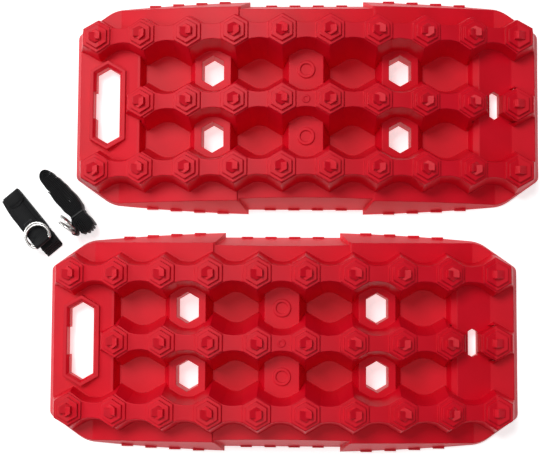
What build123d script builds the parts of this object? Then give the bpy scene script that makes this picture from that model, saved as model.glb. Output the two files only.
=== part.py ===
"""Pair of moulded tire traction mats with two webbing carry straps.

Millimetres, +Z up, ground at z = 0. A board is modelled centred on the origin
with its length along X and its hand slot at -X. Board B is the same moulding as
board A, laid parallel to it on the +Y side. The set is then moved so that the
origin lies under its middle.
"""
import math
import os

from build123d import *

# ---- board: layout -------------------------------------------------------
STUD_PITCH = 65.0
ROW_SPACING = 93.0
BAND_CENTRE = ROW_SPACING / 2
COLUMNS = 10
WALL = 3.0

# ---- board: arched deck --------------------------------------------------
ARCH_RADIUS = 980.0
CROWN = 79.0
DECK_FLAT_X = 290.0
PLATE_FLAT_X = 286.5
MIDDLE_ROW_DROP = 8.0
PAD_DROP = 40.0
FLANGE_DROP = 35.0
FLANGE_MIN = 8.0
MID_FLANGE_STEP = 2.5
FLOOR_TOP = 5.0
FLOOR_UNDERSIDE = 2.0
CUT_TOP = 92.0
CUT_BOTTOM = -6.0

# ---- board: outline at the ground ---------------------------------------
END_X = 325.0
END_CORNER_Y = 102.8
SIDE_CORNER_X = 272.0
SIDE_FOOT_Y = 152.6
SIDE_BOW = 0.000165
SKIRT_TOP = 10.0
END_SKIRT_DRAFT = 0.60
END_DRAFT = 0.27
CHAMFER_SKIRT_DRAFT = 0.32
CHAMFER_DRAFT = 0.12
SIDE_DRAFT = 0.40
SIDE_CORNER_TANGENT = 13.0
END_CORNER_TANGENT = 5.0
MID_SKIRT_FOOT_Y = 145.1
MID_SKIRT_DRAFT = 0.34
JOINT_FOOT_X = 80.0
JOINT_FLANGE_X = 94.0
FLANGE_CROWN = CROWN - FLANGE_DROP

# ---- board: ridges and pockets ------------------------------------------
SADDLE_HALF = 10.0
SADDLE_KNEE = 13.5
SADDLE_SAG = 1.9
KNEE_DRAFT = 0.047
SAG_DRAFT = 0.0105
SLOPE = math.tan(math.radians(30))
OUTER_ROW_DRAFT = 0.20
MIDDLE_ROW_DRAFT = 0.255
SCALLOP_DRAFT = 0.18
CELL_HALF = 36.0
FLOOR_HALF = 31.7
PAD_EDGES = (23.7, 104.8, 155.2)
PAD_END_LEFT = (-232.5, 24.5)
PAD_END_RIGHT = (231.5, 19.0)
BASE_HEX_HALF = 21.0

# ---- board: end plates ---------------------------------------------------
PLATE_LEFT = [(-350, 10), (-PLATE_FLAT_X, 11), (-236, 24.5)]
PLATE_RIGHT = [(239.5, 25), (PLATE_FLAT_X, 11), (350, 10)]

# ---- board: studs --------------------------------------------------------
BASE_HEX = 38.0
BASE_HEIGHT = 3.0
STEP_HEX = 29.0
STEP_HEIGHT = 7.0
SPIKE_HEX = 16.8
SPIKE_HEIGHT = 13.5
SPIKE_RAMP = 0.45
END_SPIKE_TILT = 9.0
WEDGE_PROFILE = [(-8.2, -8.0), (-8.2, 9.0), (-4.1, 14.0), (9.0, 7.6), (9.0, -8.0)]
WEDGE_WIDTH = 11.0

# ---- board: openings -----------------------------------------------------
HAND_SLOT_X = -278.5
HAND_SLOT = (33.0, 108.0)
HAND_RIM = (52.0, 128.0)
HAND_RIM_INNER = (41.0, 117.0)
HAND_RIM_TOP = 23.0
HAND_NOTCH = (3.0, 38.0)
STRAP_SLOT_X = 261.0
STRAP_SLOT = (13.0, 39.0)
HEX_HOLE_X = 130.0
HEX_HOLE_FOOT = (26.5, 38.6)
HEX_HOLE_HEAD = (31.4, 44.6)
HEX_HOLE_TOP = 36.0
TUBE_WALL = 3.0

# ---- board: small marks --------------------------------------------------
RING_OUTER_R = 12.0
RING_INNER_R = 8.0
RING_HEIGHT = 2.2
GATE_R = 5.4
LUG_PITCH = 33.15
LUG = (15.7, 0.9, 4.0)
RIB_THICKNESS = 2.5

# ---- placing -------------------------------------------------------------
BOARD_B_AT = (32.2, 329.1)
BOARD_B_YAW = -0.15
SET_SHIFT = (18.4, -164.71)

# ---- straps --------------------------------------------------------------
WEB_WIDTH = 25.4
RING_WIRE = 3.4
RING_BOW_RADIUS = 16.6
RING_BAR_OFFSET = 10.5
BAR_CLEARANCE = 0.4
LOOP_WALL = 1.5
LOOP_WIDTH = 23.0
BAND_THICKNESS = 1.0
BAND_WIDTH = 2.0
STITCH_BOX = (12.0, 13.0)
STITCH_THREAD = 0.9
STRAP_1_AT = (-351.8, 166.2)
STRAP_1_YAW = -50.1
STRAP_2_AT = (-307.0, 195.5)
STRAP_2_YAW = -53.9


def arch_z(x, drop=0.0):
    """Height of the deck at x: an arch that runs out flat at both ends."""
    reach = min(abs(x), DECK_FLAT_X)
    return CROWN - drop - ARCH_RADIUS + math.sqrt(ARCH_RADIUS ** 2 - reach ** 2)


def edge_chain(points):
    """Closed wire from (point, via) pairs; a via bends the edge that follows."""
    edges = []
    for index, (start, via) in enumerate(points):
        end = points[(index + 1) % len(points)][0]
        if via is None:
            edges.append(Edge.make_line(start, end))
        else:
            edges.append(Edge.make_three_point_arc(start, via, end))
    return Wire(edges)


def ruled(lower, upper):
    return Solid.make_loft([lower, upper], ruled=True)


def slab(profile, close_z):
    """Slab across the board between a line of (x, z) points and close_z.

    A profile entry is ((x, z), via), as in edge_chain.
    """
    lift = [((p[0], 0, p[1]), None if via is None else (via[0], 0, via[1]))
            for p, via in profile]
    ends = [((profile[-1][0][0], 0, close_z), None), ((profile[0][0][0], 0, close_z), None)]
    face = Face(edge_chain(lift + ends))
    return Pos(0, -220, 0) * Solid.extrude(face, Vector(0, 440, 0))


def arch_line(drop, span):
    """Arched part of a profile from -span to span."""
    return [((-span, arch_z(span, drop)), (0, CROWN - drop)), ((span, arch_z(span, drop)), None)]


def under_arch(drop):
    z_end = arch_z(DECK_FLAT_X, drop)
    line = [((-350, z_end), None), *arch_line(drop, DECK_FLAT_X), ((350, z_end), None)]
    return slab(line, -40)


def rounded(before, corner, after, tangent, z):
    """Edges that replace a sharp outline corner by an arc, as (point, via)."""
    corner = Vector(*corner, z)
    back = (Vector(*before, z) - corner).normalized()
    ahead = (Vector(*after, z) - corner).normalized()
    half_turn = (math.pi - back.get_angle(ahead) * math.pi / 180) / 2
    radius = tangent / math.tan(half_turn)
    inward = (back + ahead).normalized()
    middle = corner + inward * (radius * (1 / math.cos(half_turn) - 1))
    return [(tuple(corner + back * tangent), tuple(middle)), (tuple(corner + ahead * tangent), None)]


def outline_wire(z, inset):
    """Board outline at height z: an octagon whose long sides bow outward."""
    low = min(z, SKIRT_TOP)
    high = max(z - SKIRT_TOP, 0.0)
    end_x = END_X - END_SKIRT_DRAFT * low - END_DRAFT * high - inset
    run = END_X - SIDE_CORNER_X
    rise = SIDE_FOOT_Y - SIDE_BOW * SIDE_CORNER_X ** 2 - END_CORNER_Y
    length = math.hypot(run, rise)
    nx, ny = rise / length, run / length
    reach = nx * END_X + ny * END_CORNER_Y - CHAMFER_SKIRT_DRAFT * low - CHAMFER_DRAFT * high - inset
    side = SIDE_FOOT_Y - SIDE_DRAFT * z - inset * math.hypot(1, SIDE_DRAFT)
    end_y = (reach - nx * end_x) / ny
    a, b, c = -ny * SIDE_BOW, nx, ny * side - reach
    corner_x = (-b + math.sqrt(b * b - 4 * a * c)) / (2 * a)
    corner = (corner_x, side - SIDE_BOW * corner_x ** 2)
    quarter = rounded((0, side), corner, (end_x, end_y), SIDE_CORNER_TANGENT, z)
    quarter += rounded(corner, (end_x, end_y), (end_x, 0), END_CORNER_TANGENT, z)
    points = [p for p, _ in quarter]
    vias = [v for _, v in quarter]
    flips = ((1, 1), (1, -1), (-1, -1), (-1, 1))
    chain = []
    for index, (sx, sy) in enumerate(flips):
        turned = index % 2 == 1
        ordered = points[::-1] if turned else points
        bends = [vias[2], None, vias[0], (0, side, z)] if turned else vias
        for point, via in zip(ordered, bends):
            moved = None if via is None else (sx * via[0], sy * via[1], z)
            chain.append(((sx * point[0], sy * point[1], z), moved))
    return edge_chain(chain)


def wave_side(cx, reach, depth, inset, half, z, sign):
    """Points of one wavy wall: two 30 degree runs joined by a shallow arc."""
    crest = reach + inset
    knee = SADDLE_KNEE - KNEE_DRAFT * depth + 0.4 * inset
    shoulder = crest - SADDLE_SAG - SAG_DRAFT * depth - 0.076 * inset
    foot = shoulder - (half - knee) * SLOPE
    return [
        ((cx - half, sign * foot, z), None),
        ((cx - knee, sign * shoulder, z), (cx, sign * crest, z)),
        ((cx + knee, sign * shoulder, z), None),
        ((cx + half, sign * foot, z), None),
    ]


def shift_y(points, dy):
    moved = []
    for start, via in points:
        moved.append(((start[0], start[1] + dy, start[2]),
                      None if via is None else (via[0], via[1] + dy, via[2])))
    return moved


def band_cutter(cx, inset):
    """Opening between the middle row and the +Y row, one cell long."""
    local_top = arch_z(cx)
    reach = BAND_CENTRE - SADDLE_HALF
    wires = []
    for z in (CUT_BOTTOM, CUT_TOP):
        depth_out = local_top - z
        depth_mid = local_top - MIDDLE_ROW_DROP - z
        out = reach - depth_out * OUTER_ROW_DRAFT
        mid = reach - depth_mid * MIDDLE_ROW_DRAFT
        upper = shift_y(wave_side(cx, out, depth_out, inset, CELL_HALF, z, 1), BAND_CENTRE)
        lower = shift_y(wave_side(cx, mid, depth_mid, inset, CELL_HALF, z, -1), BAND_CENTRE)
        back = [(lower[3][0], None), (lower[2][0], lower[1][1]), (lower[1][0], None),
                (lower[0][0], None)]
        wires.append(edge_chain(upper + back))
    return ruled(*wires)


def scallop_cutter(cx, inset):
    """Space outside the +Y row between two studs."""
    local_top = arch_z(cx)
    wires = []
    for z in (CUT_BOTTOM, CUT_TOP):
        depth = local_top - z
        crest = -(ROW_SPACING + SADDLE_HALF + depth * SCALLOP_DRAFT)
        near = wave_side(cx, crest, depth, inset, CELL_HALF, z, -1)
        far = [((cx + CELL_HALF, 190, z), None), ((cx - CELL_HALF, 190, z), None)]
        wires.append(edge_chain(near + far))
    return ruled(*wires)


def mirrored_pair(shape):
    return [shape, shape.mirror(Plane.XZ)]


def row_end_cutter(points_top, local_top, inset):
    """Space beyond the flat side of a stud that ends the middle row."""
    wires = []
    for z in (CUT_BOTTOM, CUT_TOP):
        shrink = (local_top - z) * MIDDLE_ROW_DRAFT - inset
        ring = [(x + sx * shrink, y - math.copysign(shrink * 1.1547, y) * sy, z)
                for x, y, sx, sy in points_top]
        wires.append(edge_chain([(p, None) for p in ring]))
    return ruled(*wires)


def middle_row_ends(inset):
    side = BASE_HEX_HALF
    corner = side / math.sqrt(3)
    tip = 2 * corner
    last = 3.5 * STUD_PITCH
    end = 4.5 * STUD_PITCH
    between = [
        (last + side, -corner, 1, 0), (last + side, corner, 1, 0), (last, tip, 0, 0),
        (end, tip, 0, 0), (end - side, corner, -1, 0), (end - side, -corner, -1, 0),
        (end, -tip, 0, 0), (last, -tip, 0, 0),
    ]
    beyond = [
        (-last - side, corner, -1, 0), (-last - side, -corner, -1, 0), (-last, -tip, 0, 0),
        (-340, -tip, 0, 0), (-340, tip, 0, 0), (-last, tip, 0, 0),
    ]
    top = arch_z(last + STUD_PITCH / 2, MIDDLE_ROW_DROP)
    return [row_end_cutter(between, top, inset), row_end_cutter(beyond, top, inset)]


def above_flange(drop):
    """Space over the flange: arched along the middle, flat at the corners."""
    span = math.sqrt(ARCH_RADIUS ** 2 - (ARCH_RADIUS - FLANGE_CROWN + FLANGE_MIN) ** 2)
    low = FLANGE_MIN - drop
    line = [((-350, low), None), ((-span, low), (0, FLANGE_CROWN - drop)), ((span, low), None),
            ((350, low), None)]
    return slab(line, 200)


def above_pads(drop):
    """Space over the pads, down to the floors of the deep pockets, and over both end plates."""
    first, second, third = PAD_EDGES
    floor = FLOOR_TOP - drop
    line = [((x, z - drop), None) for x, z in PLATE_LEFT]
    line.append(((PAD_END_LEFT[0] - drop, PAD_END_LEFT[1] - drop), None))
    pads = ((-third, -second), (-first, first), (second, third))
    for number, (start, end) in enumerate(pads):
        pocket = (2 * number - 3) * STUD_PITCH
        start, end = start + drop, end - drop
        line.append(((pocket - FLOOR_HALF - drop, floor), None))
        line.append(((pocket + FLOOR_HALF + drop, floor), None))
        middle = (start + end) / 2
        line.append(((start, arch_z(start, PAD_DROP + drop)), (middle, arch_z(middle, PAD_DROP + drop))))
        line.append(((end, arch_z(end, PAD_DROP + drop)), None))
    line.append(((3 * STUD_PITCH - FLOOR_HALF - drop, floor), None))
    line.append(((3 * STUD_PITCH + FLOOR_HALF + drop, floor), None))
    line.append(((PAD_END_RIGHT[0] + drop, PAD_END_RIGHT[1] - drop), None))
    line += [((x, z - drop), None) for x, z in PLATE_RIGHT]
    return slab(line, 200)


def mid_skirt_recess(side, inset):
    """Space outside the set-back middle stretch of one long skirt."""
    wires = []
    for z in (-2.0, 60.0):
        half = JOINT_FOOT_X + (JOINT_FLANGE_X - JOINT_FOOT_X) * z / FLANGE_CROWN + inset
        near = MID_SKIRT_FOOT_Y - MID_SKIRT_DRAFT * z - inset
        corners = [(-half, near), (half, near), (half, 200.0), (-half, 200.0)]
        wires.append(edge_chain([((x, side * y, z), None) for x, y in corners]))
    return ruled(*wires)


def deck_body(inset):
    """Board without studs or openings, every wall moved inward by inset."""
    foot = -1.0 if inset else 0.0
    levels = (foot, SKIRT_TOP, 82.0)
    body = Solid.make_loft([outline_wire(z, inset) for z in levels], ruled=True)
    body = body & under_arch(inset)

    scallops = []
    bands = middle_row_ends(inset)
    for column in range(-5, 6):
        x = column * STUD_PITCH
        scallops += mirrored_pair(scallop_cutter(x, inset))
        bands += mirrored_pair(band_cutter(x, inset))
    scallops = Part() + scallops
    mid_length = Box(2 * (JOINT_FLANGE_X + inset), 440, 300)
    middle_strip = Box(800, 2 * BAND_CENTRE, 200)

    tools = [
        scallops & above_flange(inset),
        scallops & above_flange(MID_FLANGE_STEP + inset) & mid_length,
        (Part() + bands) & above_pads(inset),
        middle_strip - under_arch(MIDDLE_ROW_DROP + inset),
        mid_skirt_recess(1, inset),
        mid_skirt_recess(-1, inset),
    ]
    for tool in tools:
        body = body - tool
    return body


def long_hex(width, length, z):
    """Hexagon with straight long sides and pointed ends, as a wire."""
    shoulder = length / 2 - width / 2 * SLOPE
    points = [(width / 2, -shoulder), (width / 2, shoulder), (0, length / 2),
              (-width / 2, shoulder), (-width / 2, -shoulder), (0, -length / 2)]
    return edge_chain([((x, y, z), None) for x, y in points])


def hex_shaft(foot, head, z_low, z_high):
    return ruled(long_hex(foot[0], foot[1], z_low), long_hex(head[0], head[1], z_high))


def grow(size, by):
    return (size[0] + 2 * by, size[1] + 2 * by * 1.1547)


def openings(extra, z_low):
    """Through openings, or the walls round them when extra is positive."""
    shafts = []
    hand = hex_shaft(grow(HAND_SLOT, extra), grow(HAND_SLOT, extra), z_low, 60)
    shafts.append(Pos(HAND_SLOT_X, 0, 0) * hand)
    notch_x = HAND_SLOT_X - HAND_SLOT[0] / 2 - HAND_NOTCH[0] / 2 - extra / 2
    notch = Box(HAND_NOTCH[0] + extra + 2, HAND_NOTCH[1] + 2 * extra, 60 - z_low)
    shafts.append(Pos(notch_x + 1, 0, (60 + z_low) / 2) * notch)
    strap = hex_shaft(grow(STRAP_SLOT, extra), grow(STRAP_SLOT, extra), z_low, 60)
    shafts.append(Pos(STRAP_SLOT_X, 0, 0) * strap)
    for x in (-HEX_HOLE_X, HEX_HOLE_X):
        for y in (-BAND_CENTRE, BAND_CENTRE):
            hole = hex_shaft(grow(HEX_HOLE_FOOT, extra), grow(HEX_HOLE_HEAD, extra), z_low,
                             HEX_HOLE_TOP)
            shafts.append(Pos(x, y, 0) * hole)
    return shafts


def hexagon(across, z, shrink=0.0):
    radius = (across / 2 - shrink) / math.cos(math.radians(30))
    corners = []
    for corner in range(6):
        angle = math.radians(30 + 60 * corner)
        corners.append(((radius * math.cos(angle), radius * math.sin(angle), z), None))
    return edge_chain(corners)


def hex_tier(across, low, high):
    return ruled(hexagon(across, low, -0.2), hexagon(across, high, 0.4))


def spike(mirrored):
    """Hexagonal spike whose top is two ramps that interlock like a pinwheel."""
    half = SPIKE_HEX / 2
    fall = SPIKE_RAMP * SPIKE_HEX
    body = ruled(hexagon(SPIKE_HEX, 0), hexagon(SPIKE_HEX, SPIKE_HEIGHT, 0.3))
    seam = [(-half - 2, 5.2), (-0.4, 4.6), (0.4, 3.0), (-0.2, -3.0), (1.0, -4.6), (half + 2, -5.2)]
    for side in (1, -1):
        region = [*seam, (half + 2, 14 * side), (-half - 2, 14 * side)]
        column = Solid.extrude(Face(Wire.make_polygon([(x, y, 0) for x, y in region], close=True)),
                               Vector(0, 0, 40))
        low = -1.4 * half * side
        ramp = [(low, 0, SPIKE_HEIGHT - 1.2 * fall), (-low, 0, SPIKE_HEIGHT + 0.2 * fall),
                (-low, 0, 40), (low, 0, 40)]
        wedge = Solid.extrude(Face(Wire.make_polygon(ramp, close=True)), Vector(0, 40, 0))
        body = body - (column & (Pos(0, -20, 0) * wedge))
    return body.mirror(Plane.XZ) if mirrored else body


def stud(mirrored):
    return (hex_tier(BASE_HEX, -3, BASE_HEIGHT) + hex_tier(STEP_HEX, 0, STEP_HEIGHT)
            + spike(mirrored))


def end_stud_tiers(x, y, drop):
    """Tiers of a stud on the fold at the board's end: their tops fold with it."""
    tiers = []
    for across, height in ((BASE_HEX, BASE_HEIGHT), (STEP_HEX, STEP_HEIGHT)):
        prism = Pos(x, y, 0) * ruled(hexagon(across, 20), hexagon(across, 60))
        tiers.append(prism & under_arch(drop - height))
    return tiers


def end_wedge():
    """Wedge in place of the spike on the studs of the plain end."""
    side = Wire.make_polygon([(x, 0, z) for x, z in WEDGE_PROFILE], close=True)
    return Pos(0, -WEDGE_WIDTH / 2, 0) * Solid.extrude(Face(side), Vector(0, WEDGE_WIDTH, 0))


def stud_places():
    """(column, row) of every stud; the hand slot takes the first middle one."""
    places = []
    for row in (1, 0, -1):
        for column in range(COLUMNS):
            if row or column:
                places.append((column, row))
    return places


def studs():
    plain = stud(False)
    flipped = stud(True)
    shapes = []
    for column, row in stud_places():
        x = (column - (COLUMNS - 1) / 2) * STUD_PITCH
        y = row * ROW_SPACING
        drop = 0 if row else MIDDLE_ROW_DROP
        turned = (column % 2 == 1) != (row == -1)
        if column in (0, COLUMNS - 1):
            shapes += end_stud_tiers(x, y, drop)
            tilt = END_SPIKE_TILT
            shape = spike(turned) if column == 0 else end_wedge()
        else:
            tilt = math.degrees(math.asin(abs(x) / ARCH_RADIUS))
            shape = flipped if turned else plain
        place = Location((x, y, arch_z(x, drop)), (0, math.copysign(tilt, x), 0))
        shapes.append(place * shape)
    return shapes


def hand_rim():
    return Pos(HAND_SLOT_X, 0, 0) * hex_shaft(HAND_RIM, grow(HAND_RIM, -1), 4, HAND_RIM_TOP)


def hand_rim_dish():
    """Chamfer that leads from the rim's crest down into the hand slot."""
    mouth = hex_shaft(HAND_SLOT, HAND_RIM_INNER, HAND_RIM_TOP - 5, HAND_RIM_TOP + 0.5)
    return Pos(HAND_SLOT_X, 0, 0) * mouth


def pad_rings():
    shapes = []
    top = CROWN - PAD_DROP
    for y in (-BAND_CENTRE, BAND_CENTRE):
        ring = Cylinder(RING_OUTER_R, 3 + RING_HEIGHT) - Cylinder(RING_INNER_R, 10)
        shapes.append(Pos(0, y, top + RING_HEIGHT - (3 + RING_HEIGHT) / 2) * ring)
    gate_top = CROWN - MIDDLE_ROW_DROP
    gate = Cylinder(GATE_R, 3) - Pos(0, 0, 1.5) * Cylinder(GATE_R * 0.55, 1.2)
    shapes.append(Pos(0, 0, gate_top - 0.6) * gate)
    return shapes


def skirt_lugs():
    """Short blocks along the foot of both skirts."""
    length, proud, height = LUG
    shapes = []
    for side in (1, -1):
        for step in range(-7, 7):
            x = (step + 0.5) * LUG_PITCH
            if abs(abs(x) - JOINT_FOOT_X) <= length / 2:
                continue
            face_y = SIDE_FOOT_Y - SIDE_BOW * x * x
            if abs(x) < JOINT_FOOT_X:
                face_y = MID_SKIRT_FOOT_Y
            block = Box(length, 4, height)
            shapes.append(Pos(x, side * (face_y + proud - 2), height / 2) * block)
    return shapes


def cross_ribs():
    shapes = []
    for column in range(COLUMNS):
        x = (column - (COLUMNS - 1) / 2) * STUD_PITCH
        shapes.append(Pos(x, 0, 54) * Box(RIB_THICKNESS, 320, 100))
    return shapes


def board():
    solid = deck_body(0.0) + hand_rim() - hand_rim_dish()
    hollow = deck_body(WALL) - cross_ribs() - openings(TUBE_WALL, FLOOR_UNDERSIDE)
    relief = Pos(0, 0, FLOOR_UNDERSIDE / 2 - 0.5) * Box(560, 150, FLOOR_UNDERSIDE + 1)
    solid = solid - hollow - relief
    solid = solid + pad_rings() + skirt_lugs() + studs()
    return solid - openings(0.0, CUT_BOTTOM)


def ring_solid():
    """Steel D-ring: bar along Z at the origin, bow toward -X."""
    wire = RING_WIRE / 2
    centre = -RING_BAR_OFFSET
    half_bar = math.sqrt(RING_BOW_RADIUS ** 2 - RING_BAR_OFFSET ** 2)
    bow = Pos(centre, 0, 0) * Rot(90, 0, 0) * Torus(RING_BOW_RADIUS, wire)
    bow = bow - Pos(30, 0, 0) * Box(60, 20, 80)
    ring = bow + Cylinder(wire, 2 * half_bar)
    for end in (-half_bar, half_bar):
        ring = ring + Pos(0, 0, end) * Sphere(wire)
    return ring


def stadium(first, last, radius, depth):
    """Rounded bar through two (x, y) points, centred on z = 0."""
    dx, dy = last[0] - first[0], last[1] - first[1]
    middle = Pos((first[0] + last[0]) / 2, (first[1] + last[1]) / 2, 0)
    link = middle * Rot(0, 0, math.degrees(math.atan2(dy, dx))) * Box(
        math.hypot(dx, dy), 2 * radius, depth)
    ends = [Pos(x, y, 0) * Cylinder(radius, depth) for x, y in (first, last)]
    return link + ends


def strap(hank):
    """Pieces of one folded strap in (length, thickness, width) axes."""
    outline = Face(Wire.make_polygon([(x, y, -WEB_WIDTH / 2) for x, y in hank["outline"]],
                                     close=True))
    webbing = Solid.extrude(outline, Vector(0, 0, WEB_WIDTH))
    low, high = hank["band_span"]
    band_x = hank["band_x"]
    depth = BAND_THICKNESS + 0.1
    middle = Pos(band_x, (low + high) / 2, 0)
    around = Box(BAND_WIDTH + 0.2, 60, 60)
    core = Box(BAND_WIDTH + 2, high - low - 2 * depth, WEB_WIDTH - 2 * depth)
    webbing = webbing - middle * (around - core)
    skin = Box(BAND_WIDTH, high - low, WEB_WIDTH - 0.1)
    bore = Box(BAND_WIDTH + 2, high - low - 2 * BAND_THICKNESS, WEB_WIDTH - 2 * BAND_THICKNESS - 0.1)
    band = middle * (skin - bore)

    inner, outer = hank["bars"]
    sleeve = stadium(inner, outer, RING_WIRE / 2 + BAR_CLEARANCE + LOOP_WALL, LOOP_WIDTH)
    window = stadium(inner, outer, RING_WIRE / 2 + BAR_CLEARANCE, LOOP_WIDTH + 2)
    webbing = webbing + Pos(0, 0, hank["loop_shift"]) * sleeve
    webbing = webbing - Pos(0, 0, hank["loop_shift"]) * window

    rings = []
    for bar, lie in zip((inner, outer), hank["ring_lie"]):
        rings.append(Pos(bar[0], bar[1], hank["loop_shift"]) * Rot(0, 0, -lie) * ring_solid())

    x, y = hank["stitch_at"]
    length, width = STITCH_BOX
    frame = Box(length, 0.5, width) - Box(length - 2 * STITCH_THREAD, 2,
                                          width - 2 * STITCH_THREAD)
    stitching = Pos(x, y + 0.25, 0) * frame
    return {"webbing": webbing, "band": band, "stitching": stitching,
            "d_ring_inner": rings[0], "d_ring_outer": rings[1]}


FLAT_HANK = {
    "outline": [(-51, 4), (-49, 1), (-45, 0), (45, 0), (49, 1), (51, 4), (51, 13), (49, 16),
                (45, 17), (-45, 17), (-49, 16), (-51, 13)],
    "band_x": 22.5,
    "band_span": (0.1, 16.9),
    "bars": ((30.0, 19.25), (34.0, 23.15)),
    "ring_lie": (0.0, 0.0),
    "loop_shift": 6.0,
    "stitch_at": (4.0, 17.0),
}
STANDING_HANK = {
    "outline": [(-52, 2), (-51, -3), (-45, -8), (-30, -14.5), (-14, -17), (4, -19.3), (18, -18.6),
                (27.5, -16), (31, -15.2), (42.5, -17), (52.5, -17), (56, -9.5), (56.5, -2.5),
                (54, 6.5), (36, 6.5), (29, 6), (26.5, 5.5), (12, 8.5), (-6, 10.7), (-22, 10.7),
                (-38, 12), (-47, 9.5)],
    "band_x": 28.0,
    "band_span": (-15.6, 5.6),
    "bars": ((42.9, 9.6), (47.8, 12.6)),
    "ring_lie": (11.7, 19.6),
    "loop_shift": -6.0,
    "stitch_at": (-14.0, 10.7),
}


def placed(shape, at, yaw, lift, roll):
    return Location((at[0], at[1], lift), (0, 0, yaw)) * Rot(roll, 0, 0) * shape


os.makedirs("parts", exist_ok=True)
nodes = {}
nodes["board_a"] = board()
nodes["board_b"] = placed(nodes["board_a"], BOARD_B_AT, BOARD_B_YAW, 0, 0)
for name, piece in strap(FLAT_HANK).items():
    nodes[f"strap_1_{name}"] = placed(piece, STRAP_1_AT, STRAP_1_YAW, 0, 90)
for name, piece in strap(STANDING_HANK).items():
    nodes[f"strap_2_{name}"] = placed(piece, STRAP_2_AT, STRAP_2_YAW, WEB_WIDTH / 2, 180)

for name, shape in nodes.items():
    assert shape.is_valid, name
    assert len(shape.solids()) == 1, (name, len(shape.solids()))
    export_step(Pos(*SET_SHIFT, 0) * shape, f"parts/{name}.step")
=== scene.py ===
"""Looks for a pair of red tire traction mats with two folded webbing straps.

Metres, in the frame of the CAD model. The mats are the CAD nodes with a moulded plastic
material. The straps are rebuilt here from folded webbing.
"""
import math

import bmesh
import bpy
from mathutils import Matrix, Vector


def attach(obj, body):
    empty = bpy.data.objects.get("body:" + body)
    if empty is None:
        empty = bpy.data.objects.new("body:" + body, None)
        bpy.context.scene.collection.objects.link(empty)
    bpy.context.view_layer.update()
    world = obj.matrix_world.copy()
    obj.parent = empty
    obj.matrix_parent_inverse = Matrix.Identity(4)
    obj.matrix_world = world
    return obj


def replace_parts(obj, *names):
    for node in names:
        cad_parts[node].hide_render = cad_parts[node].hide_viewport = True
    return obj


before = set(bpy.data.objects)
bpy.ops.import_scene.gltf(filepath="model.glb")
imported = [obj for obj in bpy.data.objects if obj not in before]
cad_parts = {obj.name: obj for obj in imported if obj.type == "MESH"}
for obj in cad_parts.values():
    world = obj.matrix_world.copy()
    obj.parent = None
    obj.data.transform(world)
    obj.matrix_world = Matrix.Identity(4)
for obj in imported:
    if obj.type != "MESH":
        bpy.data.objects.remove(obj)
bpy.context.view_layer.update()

# ---- camera -----------------------------------------------------------------
CAMERA_AT = (0.0533, -0.11001, 1.570)
CAMERA_TILT = (-3.84, -1.92, -0.25)
CAMERA_LENS_MM = 224 / 3
CAMERA_SENSOR_MM = 36.0


def turn(axis, degrees):
    return Matrix.Rotation(math.radians(degrees), 3, axis)


def add_camera():
    data = bpy.data.cameras.new("camera")
    data.sensor_fit = "HORIZONTAL"
    data.sensor_width = CAMERA_SENSOR_MM
    data.lens = CAMERA_LENS_MM
    camera = bpy.data.objects.new("camera", data)
    bpy.context.scene.collection.objects.link(camera)
    tilt_x, tilt_y, tilt_z = CAMERA_TILT
    world_to_camera = turn("X", tilt_x) @ turn("Y", tilt_y) @ turn("Z", tilt_z)
    camera.matrix_world = Matrix.Translation(CAMERA_AT) @ world_to_camera.transposed().to_4x4()
    bpy.context.scene.camera = camera


# ---- materials --------------------------------------------------------------
MOULDED_EDGE = 0.0018
WEAVE_ACROSS = 0.0022
WEAVE_ALONG = 0.0013
FLOOR_GLOW = 0.55


class Shader:
    """A principled material with helpers that add and join nodes."""

    def __init__(self, name):
        self.material = bpy.data.materials.new(name)
        self.material.use_nodes = True
        self.tree = self.material.node_tree
        self.surface = self.tree.nodes["Principled BSDF"]

    def node(self, kind, inputs=None, **settings):
        made = self.tree.nodes.new(kind)
        for key, value in settings.items():
            setattr(made, key, value)
        for key, value in (inputs or {}).items():
            self.give(made.inputs[key], value)
        return made

    def give(self, socket, value):
        if isinstance(value, bpy.types.NodeSocket):
            self.tree.links.new(value, socket)
        else:
            socket.default_value = value

    def set(self, **values):
        for key, value in values.items():
            self.give(self.surface.inputs[key.replace("_", " ")], value)

    def place(self):
        return self.node("ShaderNodeTexCoord").outputs["Object"]

    def noise(self, scale, detail=3.0, roughness=0.5, where=None):
        inputs = {"Scale": scale, "Detail": detail, "Roughness": roughness}
        inputs["Vector"] = self.place() if where is None else where
        return self.node("ShaderNodeTexNoise", inputs).outputs["Fac"]

    def ramp(self, value, stops):
        made = self.node("ShaderNodeValToRGB", {"Fac": value})
        ramp = made.color_ramp
        for index, (position, colour) in enumerate(stops):
            stop = ramp.elements[index] if index < 2 else ramp.elements.new(position)
            stop.position = position
            stop.color = (*colour, 1.0)
        return made.outputs["Color"]

    def range(self, value, low, high, from_low=0.0, from_high=1.0):
        made = self.node("ShaderNodeMapRange", {
            "Value": value, "From Min": from_low, "From Max": from_high,
            "To Min": low, "To Max": high})
        return made.outputs["Result"]

    def bump(self, height, strength, distance, normal=None):
        made = self.node("ShaderNodeBump", {
            "Height": height, "Strength": strength, "Distance": distance})
        if normal is not None:
            self.give(made.inputs["Normal"], normal)
        return made.outputs["Normal"]


def red_plastic():
    """Moulded red polyethylene: fine grain, soft sheen, edges rounded by the mould."""
    shader = Shader("red_plastic")
    cloud = shader.noise(14.0, 2.0)
    colour = shader.ramp(cloud, [(0.35, (0.69, 0.0005, 0.014)), (0.65, (0.75, 0.001, 0.018))])
    grain = shader.noise(1600.0, 2.0)
    shader.surface.inputs["Specular IOR Level"].default_value = 0.28
    rounded = shader.node("ShaderNodeBevel", {"Radius": MOULDED_EDGE}, samples=6)
    normal = shader.bump(grain, 0.10, 0.0002, rounded.outputs["Normal"])
    shader.set(Base_Color=colour, Roughness=shader.range(cloud, 0.42, 0.50), Normal=normal)
    return shader.material


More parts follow.
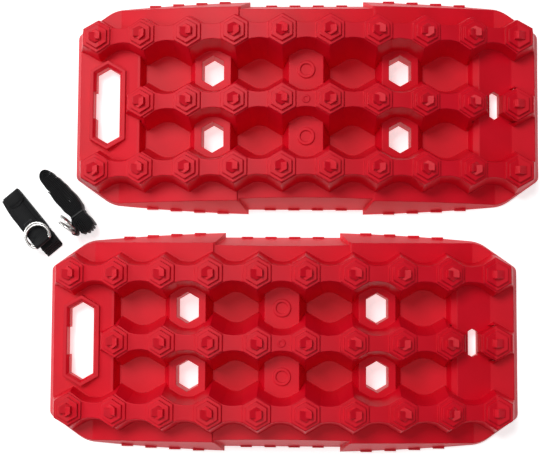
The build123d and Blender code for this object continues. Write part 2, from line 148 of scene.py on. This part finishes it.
def weave(shader, across_period, along_period):
    """Height of a woven face from the ribbon's own length and width."""
    where = shader.node("ShaderNodeTexCoord").outputs["UV"]
    lengthwise = shader.node("ShaderNodeTexWave", {
        "Vector": where, "Scale": math.pi / (10 * along_period), "Distortion": 0.4,
        "Detail": 1.0}, bands_direction="X")
    crosswise = shader.node("ShaderNodeTexWave", {
        "Vector": where, "Scale": math.pi / (10 * across_period), "Distortion": 0.25,
        "Detail": 1.0}, bands_direction="Y")
    ribs = {0: lengthwise.outputs["Fac"], 1: crosswise.outputs["Fac"]}
    return shader.node("ShaderNodeMath", ribs, operation="MULTIPLY").outputs[0]


def black_webbing():
    """Woven black nylon: fine ribs across the strap, lengthwise cords, dull sheen; the colour has
    painted shade in the hollows between the ribs.
    """
    shader = Shader("black_webbing")
    height = weave(shader, WEAVE_ACROSS, WEAVE_ALONG)
    # Painted shade: colour follows the weave height, darker in the hollows between the ribs and
    # lighter on the rib tops.
    colour = shader.ramp(height, [(0.0, (0.002, 0.002, 0.0025)), (1.0, (0.014, 0.014, 0.016))])
    fibres = shader.noise(2600.0, 2.0)
    normal = shader.bump(fibres, 0.12, 0.0001, shader.bump(height, 0.6, 0.0003))
    shader.set(Base_Color=colour, Roughness=shader.range(fibres, 0.55, 0.75), Normal=normal)
    shader.set(Sheen_Weight=0.06, Sheen_Roughness=0.5)
    shader.surface.inputs["Specular IOR Level"].default_value = 0.25
    return shader.material


def black_thread():
    """Twisted thread, a little lighter than the webbing."""
    shader = Shader("black_thread")
    twist = shader.noise(4200.0, 1.0)
    colour = shader.ramp(twist, [(0.3, (0.018, 0.018, 0.020)), (0.7, (0.040, 0.040, 0.043))])
    shader.set(Base_Color=colour, Roughness=0.5, Normal=shader.bump(twist, 0.3, 0.0001))
    return shader.material


def black_band():
    """Elastic band with a fine grain."""
    shader = Shader("black_band")
    grain = shader.noise(1900.0, 2.0)
    colour = shader.ramp(grain, [(0.3, (0.008, 0.008, 0.008)), (0.7, (0.018, 0.018, 0.018))])
    shader.set(Base_Color=colour, Roughness=shader.range(grain, 0.45, 0.62),
               Normal=shader.bump(grain, 0.2, 0.0001))
    return shader.material


def ring_steel():
    """Nickel-plated wire: bright, with faint handling marks."""
    shader = Shader("ring_steel")
    marks = shader.noise(160.0, 2.0, 0.5)
    colour = shader.ramp(marks, [(0.3, (0.72, 0.71, 0.69)), (0.7, (0.82, 0.81, 0.79))])
    shader.set(Base_Color=colour, Metallic=1.0, Roughness=shader.range(marks, 0.26, 0.34))
    return shader.material


def floor_white():
    """Pale floor that glows a little, so that shadows stay faint."""
    shader = Shader("floor_white")
    shader.set(Base_Color=(0.93, 0.93, 0.93, 1), Roughness=0.9)
    shader.set(Emission_Color=(1, 1, 1, 1), Emission_Strength=FLOOR_GLOW)
    shader.surface.inputs["Specular IOR Level"].default_value = 0.0
    return shader.material


def paint(node, material):
    for index in range(len(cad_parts[node].material_slots)):
        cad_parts[node].material_slots[index].material = material


# ---- straps: shared ---------------------------------------------------------
# Strap axes in millimetres: u along the folded strap, n through its layers, w across the
# webbing. Every strap is one closed ribbon that follows a path in (u, n).
MM = 0.001
SET_SHIFT = (18.4, -164.71)
WEB_HALF = 12.7
WEB_THICK = 1.35
WEB_EDGE = 0.35
LOOP_HALF = 11.5
RUN_STEP = 2.0
RING_OFFSET = 2.85
STITCH_LENGTH = 2.1
STITCH_HALF_U = 6.0
STITCH_HALF_W = 6.2
STITCH_RISE = 0.12
THREAD_HALF = (0.42 * STITCH_LENGTH, 0.38, 0.25)
THREAD_ROUNDING = 0.00018
BAND_HALF = 1.0
BAND_THICK = 0.8
BAND_CORNER = 1.6
BAND_ROUNDING = 0.00025
BAND_HALF_W = WEB_HALF - 0.15


def strap_place(at, yaw, roll, lift):
    move = Vector((at[0] + SET_SHIFT[0], at[1] + SET_SHIFT[1], lift)) * MM
    spin = Matrix.Rotation(math.radians(yaw), 4, "Z") @ Matrix.Rotation(math.radians(roll), 4, "X")
    return Matrix.Translation(move) @ spin @ Matrix.Scale(MM, 4)


def smooth_step(low, high, value):
    t = min(max((value - low) / (high - low), 0.0), 1.0)
    return t * t * (3 - 2 * t)


def between(table, value):
    """Value of a smooth curve through (position, height) pairs."""
    for (x0, y0), (x1, y1) in zip(table, table[1:]):
        if value <= x1:
            return y0 + (y1 - y0) * smooth_step(x0, x1, value)
    return table[-1][1]


def straight(u_from, u_to, height):
    """Points of a run from one u to another; height is a number or a function of u."""
    count = max(2, int(abs(u_to - u_from) / RUN_STEP))
    points = []
    for index in range(count + 1):
        u = u_from + (u_to - u_from) * index / count
        points.append((u, height(u) if callable(height) else height))
    return points


def hairpin(u, n_from, n_to, side, bulge=1.2):
    """Fold from one layer to the next."""
    middle = (n_from + n_to) / 2
    radius = (n_to - n_from) / 2
    points = []
    for index in range(1, 8):
        angle = math.pi * index / 8
        swell = 1 + (bulge - 1) * 0.5 * math.sin(angle)
        points.append((u + side * abs(radius) * bulge * math.sin(angle),
                       middle - radius * swell * math.cos(angle)))
    return points


def curve(points, steps=6):
    """Catmull-Rom curve through the points, without its last point."""
    padded = [points[0], *points, points[-1]]
    made = []
    for a, b, c, d in zip(padded, padded[1:], padded[2:], padded[3:]):
        for index in range(steps):
            t = index / steps
            made.append(tuple(
                0.5 * (2 * b[k] + (c[k] - a[k]) * t + (2 * a[k] - 5 * b[k] + 4 * c[k] - d[k]) * t * t
                       + (3 * b[k] - a[k] - 3 * c[k] + d[k]) * t ** 3) for k in (0, 1)))
    return made


def ring_wrap(inner, outer):
    """Path that comes up under the two ring bars, turns round the outer one and goes back."""
    span = Vector(outer) - Vector(inner)
    ahead = span.normalized()
    under = Vector((ahead.y, -ahead.x)) * RING_OFFSET
    points = [Vector(inner) + under, Vector(outer) + under]
    for index in range(1, 8):
        angle = math.pi * index / 8
        points.append(Vector(outer) + under * math.cos(angle)
                      + ahead * RING_OFFSET * math.sin(angle))
    points += [Vector(outer) - under, Vector(inner) - under]
    return [tuple(p) for p in points]


def path_lengths(path):
    lengths = [0.0]
    for a, b in zip(path, path[1:]):
        lengths.append(lengths[-1] + math.dist(a, b))
    return lengths


def ribbon(name, path, half_width, slide, squeeze, place, material):
    """Closed webbing ribbon along a path, with its length and width as UV in metres."""
    lengths = path_lengths(path)
    verts = []
    for index, (u, n) in enumerate(path):
        before = path[max(index - 1, 0)]
        after = path[min(index + 1, len(path) - 1)]
        along = (Vector(after) - Vector(before)).normalized()
        out = Vector((-along.y, along.x))
        half = half_width(lengths[index], u, n)
        middle = slide(lengths[index], u, n)
        flat = max(half - WEB_EDGE, 0.2)
        thin = WEB_THICK / 2
        rim = thin - WEB_EDGE
        for w, t in ((-half, -rim), (-flat, -thin), (flat, -thin), (half, -rim),
                     (half, rim), (flat, thin), (-flat, thin), (-half, rim)):
            point = squeeze(u + out.x * t, n + out.y * t, w + middle, lengths[index])
            verts.append(place @ Vector(point))
    faces = []
    last = len(path) - 1
    for ring in range(last):
        for side in range(8):
            after = (side + 1) % 8
            faces.append((ring * 8 + side, ring * 8 + after,
                          (ring + 1) * 8 + after, (ring + 1) * 8 + side))
    faces.append(tuple(range(7, -1, -1)))
    faces.append(tuple(last * 8 + side for side in range(8)))
    mesh = bpy.data.meshes.new(name)
    mesh.from_pydata([tuple(v) for v in verts], [], faces)
    layer = mesh.uv_layers.new(name="weave")
    across = (-WEB_HALF, -WEB_HALF, WEB_HALF, WEB_HALF, WEB_HALF, WEB_HALF, -WEB_HALF, -WEB_HALF)
    for loop in mesh.loops:
        ring, side = divmod(loop.vertex_index, 8)
        layer.data[loop.index].uv = (lengths[ring] * MM, across[side] * MM)
    return finish_piece(name, mesh, material), lengths[-1] * MM


def finish_piece(name, mesh, material):
    """Object from a mesh, with its faces outwards and its edges sharp."""
    tidy = bmesh.new()
    tidy.from_mesh(mesh)
    bmesh.ops.recalc_face_normals(tidy, faces=tidy.faces)
    tidy.to_mesh(mesh)
    tidy.free()
    mesh.shade_smooth()
    mesh.set_sharp_from_angle(angle=math.radians(55))
    mesh.materials.append(material)
    piece = bpy.data.objects.new(name, mesh)
    bpy.context.scene.collection.objects.link(piece)
    return piece


def soften_edges(piece, width):
    soften = piece.modifiers.new("soften", "BEVEL")
    soften.width = width
    soften.segments = 2
    return piece


def add_box(verts, faces, centre, along, across, up, size):
    """Box with the given half sizes along three directions."""
    start = len(verts)
    for a in (-1, 1):
        for b in (-1, 1):
            for c in (-1, 1):
                verts.append(centre + along * (a * size[0]) + across * (b * size[1])
                             + up * (c * size[2]))
    for face in ((0, 1, 3, 2), (4, 6, 7, 5), (0, 4, 5, 1), (2, 3, 7, 6), (0, 2, 6, 4),
                 (1, 5, 7, 3)):
        faces.append(tuple(start + corner for corner in face))


def stitch_box(name, middle, surface, place, material):
    """Rows of thread in a box with a cross in it, lying on a face n = surface(u)."""
    left, right = middle[0] - STITCH_HALF_U, middle[0] + STITCH_HALF_U
    front, back = middle[1] - STITCH_HALF_W, middle[1] + STITCH_HALF_W
    corners = [(left, front), (right, front), (right, back), (left, back)]
    rows = list(zip(corners, corners[1:] + corners[:1]))
    rows += [(corners[0], corners[2]), (corners[1], corners[3])]
    verts = []
    faces = []
    for start, end in rows:
        count = round(math.dist(start, end) / STITCH_LENGTH)
        for index in range(count):
            t = (index + 0.5) / count
            u = start[0] + (end[0] - start[0]) * t
            w = start[1] + (end[1] - start[1]) * t
            rise = surface(u + 0.5) - surface(u - 0.5)
            du, dw = end[0] - start[0], end[1] - start[1]
            along = Vector((du, rise * du, dw)).normalized()
            up = Vector((-rise, 1, 0)).normalized()
            across = along.cross(up)
            centre = Vector((u, surface(u) + STITCH_RISE, w))
            add_box(verts, faces, centre, along, across, up, THREAD_HALF)
    mesh = bpy.data.meshes.new(name)
    mesh.from_pydata([tuple(place @ v) for v in verts], [], faces)
    return soften_edges(finish_piece(name, mesh, material), THREAD_ROUNDING)


def band_loop(name, u, low, high, place, material):
    """Elastic band round a strap: a flat loop with rounded corners in the (n, w) plane."""
    radius = BAND_CORNER
    outline = []
    for sn, sw, start in ((1, 1, 0), (-1, 1, 90), (-1, -1, 180), (1, -1, 270)):
        cn = high - radius if sn > 0 else low + radius
        cw = sw * (BAND_HALF_W - radius)
        for step in range(5):
            angle = math.radians(start + 22.5 * step)
            outline.append((cn, cw, math.cos(angle), math.sin(angle)))
    verts = []
    for cn, cw, cos, sin in outline:
        inside = radius - BAND_THICK
        for du, r in ((-BAND_HALF, radius), (BAND_HALF, radius),
                      (BAND_HALF, inside), (-BAND_HALF, inside)):
            verts.append(place @ Vector((u + du, cn + cos * r, cw + sin * r)))
    faces = []
    count = len(outline)
    for index in range(count):
        after = (index + 1) % count
        for side in range(4):
            other = (side + 1) % 4
            faces.append((index * 4 + side, index * 4 + other, after * 4 + other,
                          after * 4 + side))
    mesh = bpy.data.meshes.new(name)
    mesh.from_pydata([tuple(v) for v in verts], [], faces)
    return soften_edges(finish_piece(name, mesh, material), BAND_ROUNDING)


# ---- strap 1: lies flat -----------------------------------------------------
FLAT_AT = (-351.8, 166.2)
FLAT_YAW = -50.1
FLAT_BARS = ((30.0, 19.25), (34.0, 23.15))
FLAT_PITCH = 1.42
FLAT_LAYERS = 11
FLAT_FAR = -47.2
FLAT_NEAR = (49.8, 48.4, 46.4, 44.2, 41.6)
FLAT_TIP = -29.0
FLAT_TOP = 16.35
FLAT_BAND_U = 22.5
FLAT_LOOP_END = -5.0
FLAT_SLIDE = 6.0
FLAT_STITCH_AT = (3.0, 5.5)
FLAT_BAND_SPAN = (0.1, 14.15)
FLAT_LAYER_GAP = 0.03
FLAT_TAIL = 160.0
FLAT_TAIL_STRAIGHT = 105.0
FLAT_TIP_ROUND = 10.0


def flat_layer(index):
    return WEB_THICK / 2 + FLAT_LAYER_GAP + FLAT_PITCH * index


def flat_path():
    """From the rounded tip on top, round the far end, zigzag up, then round the ring bars."""
    wrap = [(-44.5, FLAT_TOP), (-48.2, 15.6), (-50.0, 13.0), (-50.3, 8.6), (-50.0, 4.2),
            (-48.2, 1.5), (-44.5, flat_layer(0))]
    path = straight(FLAT_TIP, -43.0, FLAT_TOP)[:-1]
    path += curve(wrap)
    path += straight(-44.0, FLAT_NEAR[0], flat_layer(0))
    for index, near in enumerate(FLAT_NEAR):
        low, high = flat_layer(2 * index), flat_layer(2 * index + 1)
        if index:
            path += straight(FLAT_FAR, near, low)
        path += hairpin(near, low, high, 1)
        path += straight(near, FLAT_FAR, high)
        path += hairpin(FLAT_FAR, high, flat_layer(2 * index + 2), -1)
    top_layer = flat_layer(FLAT_LAYERS - 1)
    path += straight(FLAT_FAR, 20.0, top_layer)[:-1]
    wrap = ring_wrap(*FLAT_BARS)
    path += curve([(20.0, top_layer), (25.5, 15.2), wrap[0]])
    path += wrap[:-1]
    path += curve([wrap[-1], (23.5, 18.9), (19.5, 17.0), (15.5, FLAT_TOP)])
    path += straight(15.5, FLAT_LOOP_END, FLAT_TOP)
    return path


def build_flat_strap(webbing, thread, elastic):
    place = strap_place(FLAT_AT, FLAT_YAW, 90, 0)
    path = flat_path()
    total = path_lengths(path)[-1]
    tail = total - FLAT_TAIL

    def half_width(length, u, n):
        half = WEB_HALF - (WEB_HALF - LOOP_HALF) * smooth_step(24, 31, u) * (n > 15)
        if length < FLAT_TIP_ROUND:
            half *= max(1 - (1 - length / FLAT_TIP_ROUND) ** 2.6, 0.02) ** 0.5
        return half

    def slide(length, u, n):
        if length < tail:
            fan = 1.4 + 1.2 * math.sin(1.7 * round(n / FLAT_PITCH))
            return fan * smooth_step(24, 44, u)
        return FLAT_SLIDE * smooth_step(tail, total - FLAT_TAIL_STRAIGHT, length)

    def squeeze(u, n, w, length):
        if n > 14.2 or u < 0:
            return (u, n, w)
        pinch = math.exp(-((u - FLAT_BAND_U) / 4.5) ** 2)
        return (u, 7.1 + (n - 7.1) * (1 - 0.15 * pinch), w * (1 - 0.09 * pinch))

    piece, length = ribbon("strap_1_folded", path, half_width, slide, squeeze, place, webbing)
    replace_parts(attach(piece, "strap_1"), "strap_1_webbing")
    stitches = stitch_box("strap_1_box_stitch", FLAT_STITCH_AT,
                          lambda u: FLAT_TOP + WEB_THICK / 2, place, thread)
    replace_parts(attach(stitches, "strap_1"), "strap_1_stitching")
    band = band_loop("strap_1_elastic", FLAT_BAND_U, *FLAT_BAND_SPAN, place, elastic)
    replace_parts(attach(band, "strap_1"), "strap_1_band")


# ---- strap 2: stands on its edge --------------------------------------------
STAND_AT = (-307.0, 195.5)
STAND_YAW = -53.9
STAND_BARS = ((42.9, 9.6), (47.8, 12.6))
STAND_TURN = -38.0
STAND_LOW = [(-38, -10.0), (-30, -13.2), (-14, -16.2), (4, -18.8), (18, -18.4), (27.5, -14.8),
             (31, -15.0), (42.5, -17.0), (60, -17.0)]
STAND_HIGH = [(-38, 10.2), (-22, 10.0), (-6, 10.5), (12, 8.5), (27, 4.9), (29, 4.9), (36, 6.3),
              (60, 6.5)]
STAND_CLOSE = [(-38, 0.1), (-30, 0.25), (-6, 0.25), (6, 0.0), (60, 0.0)]
STAND_RUNS = 6
STAND_REACH = 12.6
STAND_LOOP_END = -21.0
STAND_FREE_END = 6.0
STAND_BAND_U = 28.0
STAND_RAISE = -6.0
STAND_LOBE = 1.6
STAND_STITCH_AT = (-13.0, 0.0)
STAND_BAND_SPAN = (-15.65, 5.7)
STAND_TAIL = 110.0


def stand_middle(u):
    return (between(STAND_LOW, u) + between(STAND_HIGH, u)) / 2


def stand_low(run, u):
    """Run 0 ends near the middle, and past its end the others close up."""
    inner = stand_middle(u) + between(STAND_CLOSE, u)
    layers = STAND_RUNS - 1 + smooth_step(STAND_FREE_END - 7, STAND_FREE_END + 4, u)
    return inner - (run + 0.5 - STAND_RUNS + layers) / layers * (inner - between(STAND_LOW, u))


def stand_high(run, u):
    inner = stand_middle(u) - between(STAND_CLOSE, u)
    layers = STAND_RUNS - 1 + smooth_step(-26, -16, u) - 2 * smooth_step(29, 40, u)
    return inner + (run - 0.5) / layers * (between(STAND_HIGH, u) - inner)


def stand_turn(run, forward):
    """Far end of one run: a half ellipse round the slit."""
    middle = stand_middle(STAND_TURN)
    down = middle - stand_low(run, STAND_TURN)
    up = stand_high(run, STAND_TURN) - middle
    reach = 0.9 + (run - 0.5) / (STAND_RUNS - 1) * STAND_REACH
    points = []
    for index in range(1, 20):
        angle = math.radians(-90 + 9 * index)
        side = up if angle > 0 else down
        points.append((STAND_TURN - reach * math.cos(angle), middle + side * math.sin(angle)))
    return points if forward else points[::-1]


def stand_path():
    """From the free end in the middle out to the outmost run and round the ring bars."""
    near_low = {0: 54.6, 1: 54.6, 2: 53.6, 3: 53.6, 4: 50.6, 5: 50.6}
    near_high = {1: 54.0, 2: 54.0, 3: 52.0, 4: 52.0}
    path = straight(STAND_FREE_END, near_low[0], lambda u: stand_low(0, u))
    u = near_low[0]
    path += hairpin(u, stand_low(0, u), stand_low(1, u), 1, STAND_LOBE)
    for run in range(1, STAND_RUNS):
        low = lambda u, run=run: stand_low(run, u)
        high = lambda u, run=run: stand_high(run, u)
        if run % 2 == 0:
            path += straight(near_high[run], STAND_TURN, high)
            path += stand_turn(run, False)
            path += straight(STAND_TURN, near_low[run], low)
            if run + 1 < STAND_RUNS:
                u = near_low[run]
                path += hairpin(u, stand_low(run, u), stand_low(run + 1, u), 1, STAND_LOBE)
        else:
            path += straight(near_low[run], STAND_TURN, low)
            path += stand_turn(run, True)
            if run + 1 < STAND_RUNS:
                u = near_high[run]
                path += straight(STAND_TURN, u, high)
                path += hairpin(u, stand_high(run, u), stand_high(run + 1, u), 1, STAND_LOBE)
    last = STAND_RUNS - 1
    path += straight(STAND_TURN, 28.5, lambda u: stand_high(last, u))[:-1]
    wrap = ring_wrap(*STAND_BARS)
    path += curve([(28.5, stand_high(last, 28.5)), (33.0, 4.6), (38.5, 5.7), wrap[0]])
    path += wrap[:-1]
    path += curve([wrap[-1], (36.5, 9.0), (32.0, 6.3), (28.5, stand_high(STAND_RUNS, 28.5))])
    path += straight(28.5, STAND_LOOP_END, lambda u: stand_high(STAND_RUNS, u))
    return path


def build_standing_strap(webbing, thread, elastic):
    place = strap_place(STAND_AT, STAND_YAW, 180, WEB_HALF)
    path = stand_path()
    tail = path_lengths(path)[-1] - STAND_TAIL

    def half_width(length, u, n):
        half = WEB_HALF - 0.02
        if length > tail:
            half -= (half - LOOP_HALF) * smooth_step(30, 40, u)
        return half

    def slide(length, u, n):
        if length < tail:
            return 0.0
        return STAND_RAISE * smooth_step(29.5, 41.5, u)

    def squeeze(u, n, w, length):
        if length > tail and u > 29.5:
            return (u, n, w)
        pinch = math.exp(-((u - STAND_BAND_U) / 5.0) ** 2)
        return (u, n, w * (1 - 0.085 * pinch))

    piece, length = ribbon("strap_2_folded", path, half_width, slide, squeeze, place, webbing)
    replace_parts(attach(piece, "strap_2"), "strap_2_webbing")
    stitches = stitch_box("strap_2_box_stitch", STAND_STITCH_AT,
                          lambda u: stand_high(STAND_RUNS, u) + WEB_THICK / 2, place, thread)
    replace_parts(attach(stitches, "strap_2"), "strap_2_stitching")
    band = band_loop("strap_2_elastic", STAND_BAND_U, *STAND_BAND_SPAN, place, elastic)
    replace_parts(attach(band, "strap_2"), "strap_2_band")


# ---- stage ------------------------------------------------------------------
FLOOR_HALF = 6.0
FLOOR_Z = -0.0002
WORLD_LIGHT = 0.18
# Name, place, point it faces, width and height, watts.
SOFTBOXES = [
    ("key", (-1.6, 2.3, 4.85), (0, 0, 0), (2.0, 2.0), 156),
    ("side", (-2.6, 0.5, 0.9), (0, 0, 0.03), (0.9, 0.9), 18),
    ("top", (-0.5, -0.8, 2.7), (0, 0, 0), (1.6, 1.6), 13),
]


def add_floor():
    mesh = bpy.data.meshes.new("floor")
    corners = [(x * FLOOR_HALF, y * FLOOR_HALF, FLOOR_Z)
               for x, y in ((-1, -1), (1, -1), (1, 1), (-1, 1))]
    mesh.from_pydata(corners, [], [(0, 1, 2, 3)])
    floor = bpy.data.objects.new("floor", mesh)
    bpy.context.scene.collection.objects.link(floor)
    mesh.materials.append(floor_white())


def add_softbox(name, at, target, size, power):
    data = bpy.data.lights.new(name, "AREA")
    data.shape = "RECTANGLE"
    data.size, data.size_y = size
    data.energy = power
    light = bpy.data.objects.new(name, data)
    bpy.context.scene.collection.objects.link(light)
    light.location = at
    aim = Vector(target) - Vector(at)
    light.rotation_euler = aim.to_track_quat("-Z", "Y").to_euler()


def add_lights():
    for name, at, target, size, power in SOFTBOXES:
        add_softbox(name, at, target, size, power)
    world = bpy.data.worlds.new("studio")
    bpy.context.scene.world = world
    world.use_nodes = True
    background = world.node_tree.nodes["Background"]
    background.inputs["Color"].default_value = (1, 1, 1, 1)
    background.inputs["Strength"].default_value = WORLD_LIGHT


add_camera()
add_floor()
add_lights()
bpy.context.scene.view_settings.view_transform = "Standard"

red = red_plastic()
steel = ring_steel()
for board in ("board_a", "board_b"):
    paint(board, red)
for strap in ("strap_1", "strap_2"):
    for which in ("inner", "outer"):
        paint(f"{strap}_d_ring_{which}", steel)
webbing = black_webbing()
thread = black_thread()
elastic = black_band()
build_flat_strap(webbing, thread, elastic)
build_standing_strap(webbing, thread, elastic)
